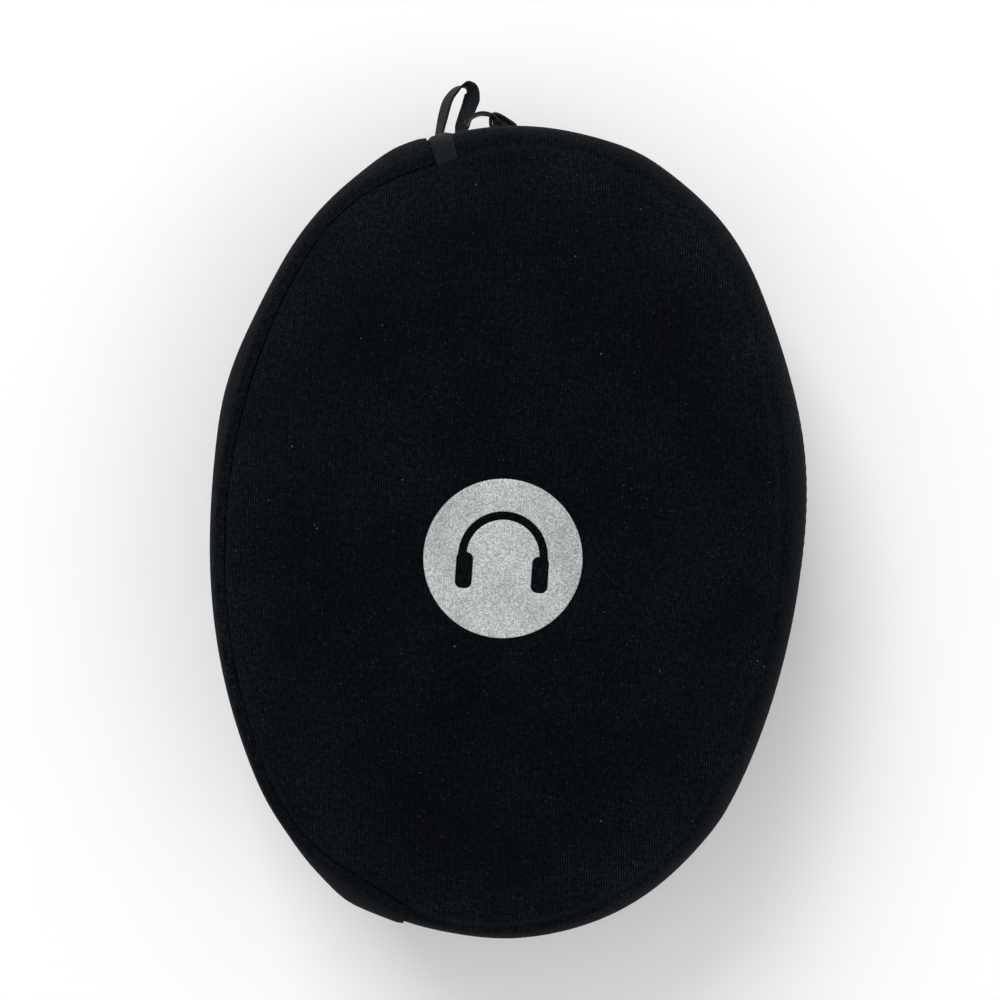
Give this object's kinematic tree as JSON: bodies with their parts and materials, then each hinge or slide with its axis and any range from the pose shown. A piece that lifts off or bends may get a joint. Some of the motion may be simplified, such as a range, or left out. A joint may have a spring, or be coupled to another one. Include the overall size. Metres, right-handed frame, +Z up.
{
  "type": "headphone carrying case",
  "caption": "Oval zip-up carrying case of moulded foam covered in black knit, with a fabric spine, a hang loop and a round silver emblem on the lid.",
  "frame": {"origin": "middle of the flat on the underside of the base, which the closed case rests on", "axes": "+Y along the case towards the hang loop, +X across it towards the zip, +Z up out of the lid"},
  "size_m": [0.1404, 0.2062, 0.0676],
  "materials": {
    "black_knit": "matte fine knit",
    "spine_knit": "matte fine knit",
    "charcoal_foam": "closed-cell foam",
    "grey_lining": "brushed tricot",
    "zip_tape": "woven tape",
    "zip_coil": "satin",
    "binding_ribbon": "grosgrain",
    "webbing": "woven ribbon",
    "gunmetal": "satin",
    "silver_transfer": "satin"
  },
  "bodies": {
    "base": {"base_cover": "black_knit", "base_foam_shell": "charcoal_foam", "base_lining": "grey_lining", "base_zip_tape": "zip_tape", "base_zip_coil": "zip_coil", "base_top_stop": "gunmetal", "base_binding": "binding_ribbon", "zip_bottom_stop": "gunmetal", "hinge_spine": "spine_knit", "hinge_lining": "grey_lining", "hang_loop": "webbing"},
    "lid": {"lid_cover": "black_knit", "lid_foam_shell": "charcoal_foam", "lid_lining": "grey_lining", "lid_zip_tape": "zip_tape", "lid_zip_coil": "zip_coil", "lid_top_stop": "gunmetal", "lid_binding": "binding_ribbon", "zip_end_tab": "webbing", "emblem_disc": "silver_transfer"},
    "slider": {"slider_body": "gunmetal", "slider_bridge": "gunmetal"},
    "puller": {"zip_puller": "gunmetal"}
  },
  "joints": [
    {"name": "lid_hinge", "type": "hinge", "parent": "base", "child": "lid", "pos_m": [-0.064, 0, 0.033], "axis": [0, -1, 0], "range_deg": [0, 40], "deforming": ["hinge_spine", "hinge_lining"]},
    {"name": "zip_slide", "type": "hinge", "parent": "base", "child": "slider", "pos_m": [0, 0.034, 0.033], "axis": [0, 0, 1], "range_deg": [-66, 0]},
    {"name": "puller_swing", "type": "hinge", "parent": "slider", "child": "puller", "pos_m": [-0.00868, 0.09855, 0.033], "axis": [0, 0, 1], "range_deg": [-155, 0]}
  ]
}
